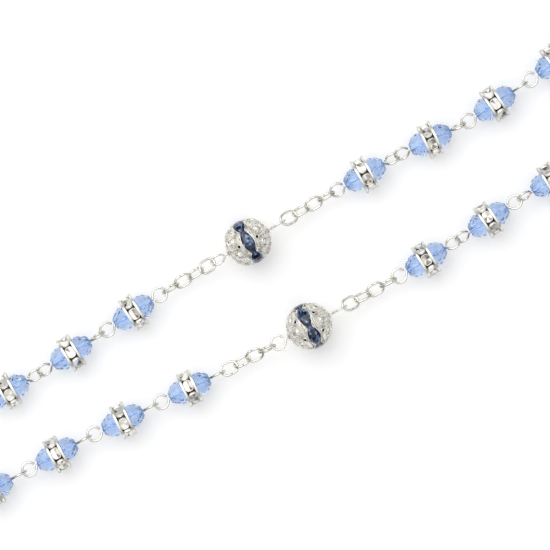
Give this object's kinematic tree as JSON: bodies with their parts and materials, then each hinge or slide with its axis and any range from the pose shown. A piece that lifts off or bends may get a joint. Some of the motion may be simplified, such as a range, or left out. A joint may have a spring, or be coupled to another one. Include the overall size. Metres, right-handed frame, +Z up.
{
  "type": "rosary",
  "caption": "Rosary of wire-linked crystal beads with rhinestone spacers, filigree ball beads, oval-link chain, centrepiece and cross.",
  "frame": {"origin": "on the table under the middle of the whole rosary as it lies", "axes": "+X along the two parallel strands towards the centrepiece, +Y across them, +Z up from the table"},
  "size_m": [0.2582, 0.262, 0.0115],
  "materials": {
    "silver": "bright silver plating",
    "blue_crystal": "faceted, polished",
    "navy_crystal": "faceted, foil-backed",
    "clear_crystal": "faceted, foil-backed"
  },
  "bodies": {
    "centrepiece": {"centrepiece": "silver", "centrepiece_stone": "navy_crystal"},
    "chain_to_decade_1": {"chain_to_decade_1": "silver"},
    "decade_1_beads_01_02": {"decade_1_beads_01_02": "blue_crystal"},
    "decade_1_beads_03_04": {"decade_1_beads_03_04": "blue_crystal"},
    "decade_1_beads_05_06": {"decade_1_beads_05_06": "blue_crystal"},
    "decade_1_beads_07_08": {"decade_1_beads_07_08": "blue_crystal"},
    "decade_1_beads_09_10": {"decade_1_beads_09_10": "blue_crystal"},
    "chain_from_decade_1": {"chain_from_decade_1": "silver"},
    "our_father_1": {"our_father_1": "silver"},
    "chain_to_decade_2": {"chain_to_decade_2": "silver"},
    "decade_2_beads_01_02": {"decade_2_beads_01_02": "blue_crystal"},
    "decade_2_beads_03_04": {"decade_2_beads_03_04": "blue_crystal"},
    "decade_2_beads_05_06": {"decade_2_beads_05_06": "blue_crystal"},
    "decade_2_bead_07": {"decade_2_bead_07": "blue_crystal"},
    "decade_2_bead_08": {"decade_2_bead_08": "blue_crystal"},
    "decade_2_bead_09": {"decade_2_bead_09": "blue_crystal"},
    "decade_2_bead_10": {"decade_2_bead_10": "blue_crystal"},
    "chain_from_decade_2": {"chain_from_decade_2": "silver"},
    "our_father_2": {"our_father_2": "silver"},
    "chain_to_decade_3": {"chain_to_decade_3": "silver"},
    "decade_3_bead_01": {"decade_3_bead_01": "blue_crystal"},
    "decade_3_bead_02": {"decade_3_bead_02": "blue_crystal"},
    "decade_3_bead_03": {"decade_3_bead_03": "blue_crystal"},
    "decade_3_bead_04": {"decade_3_bead_04": "blue_crystal"},
    "decade_3_bead_05": {"decade_3_bead_05": "blue_crystal"},
    "chain_from_decade_5": {"chain_from_decade_5": "silver"},
    "decade_5_beads_09_10": {"decade_5_beads_09_10": "blue_crystal"},
    "decade_5_beads_07_08": {"decade_5_beads_07_08": "blue_crystal"},
    "decade_5_beads_05_06": {"decade_5_beads_05_06": "blue_crystal"},
    "decade_5_beads_03_04": {"decade_5_beads_03_04": "blue_crystal"},
    "decade_5_beads_01_02": {"decade_5_beads_01_02": "blue_crystal"},
    "chain_to_decade_5": {"chain_to_decade_5": "silver"},
    "our_father_4": {"our_father_4": "silver"},
    "chain_from_decade_4": {"chain_from_decade_4": "silver"},
    "decade_4_beads_09_10": {"decade_4_beads_09_10": "blue_crystal"},
    "decade_4_beads_07_08": {"decade_4_beads_07_08": "blue_crystal"},
    "decade_4_beads_05_06": {"decade_4_beads_05_06": "blue_crystal"},
    "decade_4_bead_04": {"decade_4_bead_04": "blue_crystal"},
    "decade_4_bead_03": {"decade_4_bead_03": "blue_crystal"},
    "decade_4_bead_02": {"decade_4_bead_02": "blue_crystal"},
    "decade_4_bead_01": {"decade_4_bead_01": "blue_crystal"},
    "chain_to_decade_4": {"chain_to_decade_4": "silver"},
    "our_father_3": {"our_father_3": "silver"},
    "chain_from_decade_3": {"chain_from_decade_3": "silver"},
    "decade_3_bead_10": {"decade_3_bead_10": "blue_crystal"},
    "decade_3_bead_09": {"decade_3_bead_09": "blue_crystal"},
    "decade_3_bead_08": {"decade_3_bead_08": "blue_crystal"},
    "decade_3_bead_07": {"decade_3_bead_07": "blue_crystal"},
    "decade_3_bead_06": {"decade_3_bead_06": "blue_crystal"},
    "pendant_chain_1": {"pendant_chain_1": "silver"},
    "pendant_our_father_1": {"pendant_our_father_1": "silver"},
    "pendant_chain_2": {"pendant_chain_2": "silver"},
    "pendant_bead_1": {"pendant_bead_1": "blue_crystal"},
    "pendant_bead_2": {"pendant_bead_2": "blue_crystal"},
    "pendant_bead_3": {"pendant_bead_3": "blue_crystal"},
    "pendant_chain_3": {"pendant_chain_3": "silver"},
    "pendant_our_father_2": {"pendant_our_father_2": "silver"},
    "pendant_chain_4": {"pendant_chain_4": "silver"},
    "cross": {"cross": "silver"}
  },
  "joints": [
    {"name": "chain_to_decade_1_hinge", "type": "hinge", "parent": "centrepiece", "child": "chain_to_decade_1", "pos_m": [0.1012, 0.01937, 0.002], "axis": [0.9971, 0.0757, 0], "range_deg": [-50, 50]},
    {"name": "decade_1_beads_01_02_hinge", "type": "hinge", "parent": "chain_to_decade_1", "child": "decade_1_beads_01_02", "pos_m": [0.0992, 0.03299, 0.00425], "axis": [-0.9611, -0.2759, -0.0153], "range_deg": [-50, 50]},
    {"name": "decade_1_beads_03_04_hinge", "type": "hinge", "parent": "decade_1_beads_01_02", "child": "decade_1_beads_03_04", "pos_m": [0.08724, 0.06572, 0.00425], "axis": [0.8358, 0.5491, 0], "range_deg": [-50, 50]},
    {"name": "decade_1_beads_05_06_hinge", "type": "hinge", "parent": "decade_1_beads_03_04", "child": "decade_1_beads_05_06", "pos_m": [0.06573, 0.09397, 0.00425], "axis": [-0.6349, -0.7726, 0], "range_deg": [-50, 50]},
    {"name": "decade_1_beads_07_08_hinge", "type": "hinge", "parent": "decade_1_beads_05_06", "child": "decade_1_beads_07_08", "pos_m": [0.03679, 0.11456, 0.00425], "axis": [0.3767, 0.9263, 0], "range_deg": [-50, 50]},
    {"name": "decade_1_beads_09_10_hinge", "type": "hinge", "parent": "decade_1_beads_07_08", "child": "decade_1_beads_09_10", "pos_m": [0.00304, 0.12562, 0.00425], "axis": [-0.0844, -0.9964, 0], "range_deg": [-50, 50]},
    {"name": "chain_from_decade_1_hinge", "type": "hinge", "parent": "decade_1_beads_09_10", "child": "chain_from_decade_1", "pos_m": [-0.03248, 0.12611, 0.00413], "axis": [-0.1594, 0.9872, 0], "range_deg": [-50, 50]},
    {"name": "our_father_1_hinge", "type": "hinge", "parent": "chain_from_decade_1", "child": "our_father_1", "pos_m": [-0.04581, 0.12324, 0.00575], "axis": [0.3624, -0.932, 0], "range_deg": [-50, 50]},
    {"name": "chain_to_decade_2_hinge", "type": "hinge", "parent": "our_father_1", "child": "chain_to_decade_2", "pos_m": [-0.06399, 0.11624, 0.00542], "axis": [-0.4542, 0.8909, 0], "range_deg": [-50, 50]},
    {"name": "decade_2_beads_01_02_hinge", "type": "hinge", "parent": "chain_to_decade_2", "child": "decade_2_beads_01_02", "pos_m": [-0.07583, 0.10938, 0.00425], "axis": [0.6252, -0.7805, 0], "range_deg": [-50, 50]},
    {"name": "decade_2_beads_03_04_hinge", "type": "hinge", "parent": "decade_2_beads_01_02", "child": "decade_2_beads_03_04", "pos_m": [-0.10194, 0.0853, 0.00425], "axis": [-0.8288, 0.5595, 0], "range_deg": [-50, 50]},
    {"name": "decade_2_beads_05_06_hinge", "type": "hinge", "parent": "decade_2_beads_03_04", "child": "decade_2_beads_05_06", "pos_m": [-0.11994, 0.05458, 0.00425], "axis": [0.9994, 0.0349, 0], "range_deg": [-50, 50]},
    {"name": "decade_2_bead_07_hinge", "type": "hinge", "parent": "decade_2_beads_05_06", "child": "decade_2_bead_07", "pos_m": [-0.10762, 0.02341, 0.00425], "axis": [-0.1736, -0.9848, 0], "range_deg": [-50, 50]},
    {"name": "decade_2_bead_08_hinge", "type": "hinge", "parent": "decade_2_bead_07", "child": "decade_2_bead_08", "pos_m": [-0.0901, 0.02021, 0.00425], "axis": [0.0175, 0.9998, 0], "range_deg": [-50, 50]},
    {"name": "decade_2_bead_09_hinge", "type": "hinge", "parent": "decade_2_bead_08", "child": "decade_2_bead_09", "pos_m": [-0.0723, 0.01987, 0.00425], "axis": [0.0349, -0.9994, 0], "range_deg": [-50, 50]},
    {"name": "decade_2_bead_10_hinge", "type": "hinge", "parent": "decade_2_bead_09", "child": "decade_2_bead_10", "pos_m": [-0.05451, 0.02047, 0.00425], "axis": [-0.0523, 0.9986, 0], "range_deg": [-50, 50]},
    {"name": "chain_from_decade_2_hinge", "type": "hinge", "parent": "decade_2_bead_10", "child": "chain_from_decade_2", "pos_m": [-0.03604, 0.02137, 0.00425], "axis": [0.0087, -1, 0], "range_deg": [-50, 50]},
    {"name": "our_father_2_hinge", "type": "hinge", "parent": "chain_from_decade_2", "child": "our_father_2", "pos_m": [-0.0224, 0.02147, 0.00575], "axis": [0, 1, 0.003], "range_deg": [-50, 50]},
    {"name": "chain_to_decade_3_hinge", "type": "hinge", "parent": "our_father_2", "child": "chain_to_decade_3", "pos_m": [-0.0036, 0.02148, 0.00542], "axis": [-0.0087, -1, 0], "range_deg": [-50, 50]},
    {"name": "decade_3_bead_01_hinge", "type": "hinge", "parent": "chain_to_decade_3", "child": "decade_3_bead_01", "pos_m": [0.01009, 0.02137, 0.00425], "axis": [0.0175, 0.9998, 0], "range_deg": [-50, 50]},
    {"name": "decade_3_bead_02_hinge", "type": "hinge", "parent": "decade_3_bead_01", "child": "decade_3_bead_02", "pos_m": [0.02789, 0.0211, 0.00425], "axis": [-0.0872, -0.9962, 0], "range_deg": [-50, 50]},
    {"name": "decade_3_bead_03_hinge", "type": "hinge", "parent": "decade_3_bead_02", "child": "decade_3_bead_03", "pos_m": [0.04562, 0.01946, 0.00425], "axis": [-0.0523, 0.9986, 0], "range_deg": [-50, 50]},
    {"name": "decade_3_bead_04_hinge", "type": "hinge", "parent": "decade_3_bead_03", "child": "decade_3_bead_04", "pos_m": [0.0634, 0.02035, 0.00425], "axis": [0.1045, -0.9945, 0], "range_deg": [-50, 50]},
    {"name": "decade_3_bead_05_hinge", "type": "hinge", "parent": "decade_3_bead_04", "child": "decade_3_bead_05", "pos_m": [0.08126, 0.02273, 0.00425], "axis": [0.6428, 0.766, 0], "range_deg": [-50, 50]},
    {"name": "chain_from_decade_5_hinge", "type": "hinge", "parent": "centrepiece", "child": "chain_from_decade_5", "pos_m": [0.10101, 0.0024, 0.002], "axis": [-0.9822, 0.1878, 0], "range_deg": [-50, 50]},
    {"name": "decade_5_beads_09_10_hinge", "type": "hinge", "parent": "chain_from_decade_5", "child": "decade_5_beads_09_10", "pos_m": [0.09754, -0.01092, 0.00425], "axis": [0.9278, -0.3729, 0.0145], "range_deg": [-50, 50]},
    {"name": "decade_5_beads_07_08_hinge", "type": "hinge", "parent": "decade_5_beads_09_10", "child": "decade_5_beads_07_08", "pos_m": [0.0824, -0.04231, 0.00425], "axis": [-0.785, 0.6196, 0], "range_deg": [-50, 50]},
    {"name": "decade_5_beads_05_06_hinge", "type": "hinge", "parent": "decade_5_beads_07_08", "child": "decade_5_beads_05_06", "pos_m": [0.0586, -0.06869, 0.00425], "axis": [0.5783, -0.8159, 0], "range_deg": [-50, 50]},
    {"name": "decade_5_beads_03_04_hinge", "type": "hinge", "parent": "decade_5_beads_05_06", "child": "decade_5_beads_03_04", "pos_m": [0.02833, -0.08728, 0.00425], "axis": [-0.3246, 0.9459, 0], "range_deg": [-50, 50]},
    {"name": "decade_5_beads_01_02_hinge", "type": "hinge", "parent": "decade_5_beads_03_04", "child": "decade_5_beads_01_02", "pos_m": [-0.00596, -0.09657, 0.00425], "axis": [0.0445, -0.999, 0], "range_deg": [-50, 50]},
    {"name": "chain_to_decade_5_hinge", "type": "hinge", "parent": "decade_5_beads_01_02", "child": "chain_to_decade_5", "pos_m": [-0.04148, -0.09577, 0.00413], "axis": [0.1863, 0.9825, 0], "range_deg": [-50, 50]},
    {"name": "our_father_4_hinge", "type": "hinge", "parent": "chain_to_decade_5", "child": "our_father_4", "pos_m": [-0.05474, -0.09257, 0.00575], "axis": [-0.3776, -0.926, 0], "range_deg": [-50, 50]},
    {"name": "chain_from_decade_4_hinge", "type": "hinge", "parent": "our_father_4", "child": "chain_from_decade_4", "pos_m": [-0.07279, -0.08527, 0.00542], "axis": [0.4642, 0.8857, 0], "range_deg": [-50, 50]},
    {"name": "decade_4_beads_09_10_hinge", "type": "hinge", "parent": "chain_from_decade_4", "child": "decade_4_beads_09_10", "pos_m": [-0.08457, -0.07831, 0.00425], "axis": [-0.6257, -0.7801, 0], "range_deg": [-50, 50]},
    {"name": "decade_4_beads_07_08_hinge", "type": "hinge", "parent": "decade_4_beads_09_10", "child": "decade_4_beads_07_08", "pos_m": [-0.11076, -0.0543, 0.00425], "axis": [0.8203, 0.5719, 0], "range_deg": [-50, 50]},
    {"name": "decade_4_beads_05_06_hinge", "type": "hinge", "parent": "decade_4_beads_07_08", "child": "decade_4_beads_05_06", "pos_m": [-0.12769, -0.02305, 0.00425], "axis": [-0.9272, 0.3746, 0], "range_deg": [-50, 50]},
    {"name": "decade_4_bead_04_hinge", "type": "hinge", "parent": "decade_4_beads_05_06", "child": "decade_4_bead_04", "pos_m": [-0.10546, 0.00193, 0.00425], "axis": [-0.0349, -0.9994, 0], "range_deg": [-50, 50]},
    {"name": "decade_4_bead_03_hinge", "type": "hinge", "parent": "decade_4_bead_04", "child": "decade_4_bead_03", "pos_m": [-0.08767, 0.00131, 0.00425], "axis": [0.0349, 0.9994, 0], "range_deg": [-50, 50]},
    {"name": "decade_4_bead_02_hinge", "type": "hinge", "parent": "decade_4_bead_03", "child": "decade_4_bead_02", "pos_m": [-0.06988, 0.00073, 0.00425], "axis": [-0.0872, -0.9962, 0], "range_deg": [-50, 50]},
    {"name": "decade_4_bead_01_hinge", "type": "hinge", "parent": "decade_4_bead_02", "child": "decade_4_bead_01", "pos_m": [-0.05215, -0.00083, 0.00425], "axis": [0.0785, 0.9969, 0], "range_deg": [-50, 50]},
    {"name": "chain_to_decade_4_hinge", "type": "hinge", "parent": "decade_4_bead_01", "child": "chain_to_decade_4", "pos_m": [-0.03439, -0.00225, 0.00413], "axis": [-0.0523, -0.9986, 0], "range_deg": [-50, 50]},
    {"name": "our_father_3_hinge", "type": "hinge", "parent": "chain_to_decade_4", "child": "our_father_3", "pos_m": [-0.02077, -0.00297, 0.00575], "axis": [0.0349, 0.9994, 0], "range_deg": [-50, 50]},
    {"name": "chain_from_decade_3_hinge", "type": "hinge", "parent": "our_father_3", "child": "chain_from_decade_3", "pos_m": [-0.00131, -0.00366, 0.00542], "axis": [-0.0262, -0.9997, 0], "range_deg": [-50, 50]},
    {"name": "decade_3_bead_10_hinge", "type": "hinge", "parent": "chain_from_decade_3", "child": "decade_3_bead_10", "pos_m": [0.01238, -0.00405, 0.00425], "axis": [-0.0175, 0.9998, 0], "range_deg": [-50, 50]},
    {"name": "decade_3_bead_09_hinge", "type": "hinge", "parent": "decade_3_bead_10", "child": "decade_3_bead_09", "pos_m": [0.03018, -0.00376, 0.00425], "axis": [0.0523, -0.9986, 0], "range_deg": [-50, 50]},
    {"name": "decade_3_bead_08_hinge", "type": "hinge", "parent": "decade_3_bead_09", "child": "decade_3_bead_08", "pos_m": [0.04795, -0.00279, 0.00425], "axis": [0, 1, 0], "range_deg": [-50, 50]},
    {"name": "decade_3_bead_07_hinge", "type": "hinge", "parent": "decade_3_bead_08", "child": "decade_3_bead_07", "pos_m": [0.06576, -0.00265, 0.00425], "axis": [-0.1994, -0.9799, 0], "range_deg": [-50, 50]},
    {"name": "decade_3_bead_06_hinge", "type": "hinge", "parent": "decade_3_bead_07", "child": "decade_3_bead_06", "pos_m": [0.08348, -0.00691, 0.00425], "axis": [-0.809, 0.5878, 0], "range_deg": [-50, 50]},
    {"name": "pendant_chain_1_hinge", "type": "hinge", "parent": "centrepiece", "child": "pendant_chain_1", "pos_m": [0.12101, 0.00928, 0.002], "axis": [-0.9397, -0.342, 0], "range_deg": [-50, 50]},
    {"name": "pendant_our_father_1_hinge", "type": "hinge", "parent": "pendant_chain_1", "child": "pendant_our_father_1", "pos_m": [0.1248, -0.00343, 0.00575], "axis": [0.9751, -0.1719, 0.1403], "range_deg": [-50, 50]},
    {"name": "pendant_chain_2_hinge", "type": "hinge", "parent": "pendant_our_father_1", "child": "pendant_chain_2", "pos_m": [0.12164, -0.02197, 0.00541], "axis": [-0.9397, 0.342, 0], "range_deg": [-50, 50]},
    {"name": "pendant_bead_1_hinge", "type": "hinge", "parent": "pendant_chain_2", "child": "pendant_bead_1", "pos_m": [0.11698, -0.03484, 0.00425], "axis": [0.9272, -0.3746, 0], "range_deg": [-50, 50]},
    {"name": "pendant_bead_2_hinge", "type": "hinge", "parent": "pendant_bead_1", "child": "pendant_bead_2", "pos_m": [0.1104, -0.05139, 0.00425], "axis": [-0.866, 0.5, 0], "range_deg": [-50, 50]},
    {"name": "pendant_bead_3_hinge", "type": "hinge", "parent": "pendant_bead_2", "child": "pendant_bead_3", "pos_m": [0.10158, -0.06686, 0.00425], "axis": [0.788, -0.6157, 0], "range_deg": [-50, 50]},
    {"name": "pendant_chain_3_hinge", "type": "hinge", "parent": "pendant_bead_3", "child": "pendant_chain_3", "pos_m": [0.09067, -0.08094, 0.00413], "axis": [-0.7193, 0.6947, 0], "range_deg": [-50, 50]},
    {"name": "pendant_our_father_2_hinge", "type": "hinge", "parent": "pendant_chain_3", "child": "pendant_our_father_2", "pos_m": [0.08124, -0.09081, 0.00575], "axis": [0.6428, -0.766, 0], "range_deg": [-50, 50]},
    {"name": "pendant_chain_4_hinge", "type": "hinge", "parent": "pendant_our_father_2", "child": "pendant_chain_4", "pos_m": [0.06566, -0.10365, 0.00575], "axis": [-0.5592, 0.829, 0], "range_deg": [-50, 50]},
    {"name": "cross_hinge", "type": "hinge", "parent": "pendant_chain_4", "child": "cross", "pos_m": [0.0544, -0.11104, 0.00205], "axis": [0.4693, -0.8826, -0.0287], "range_deg": [-50, 50]}
  ]
}
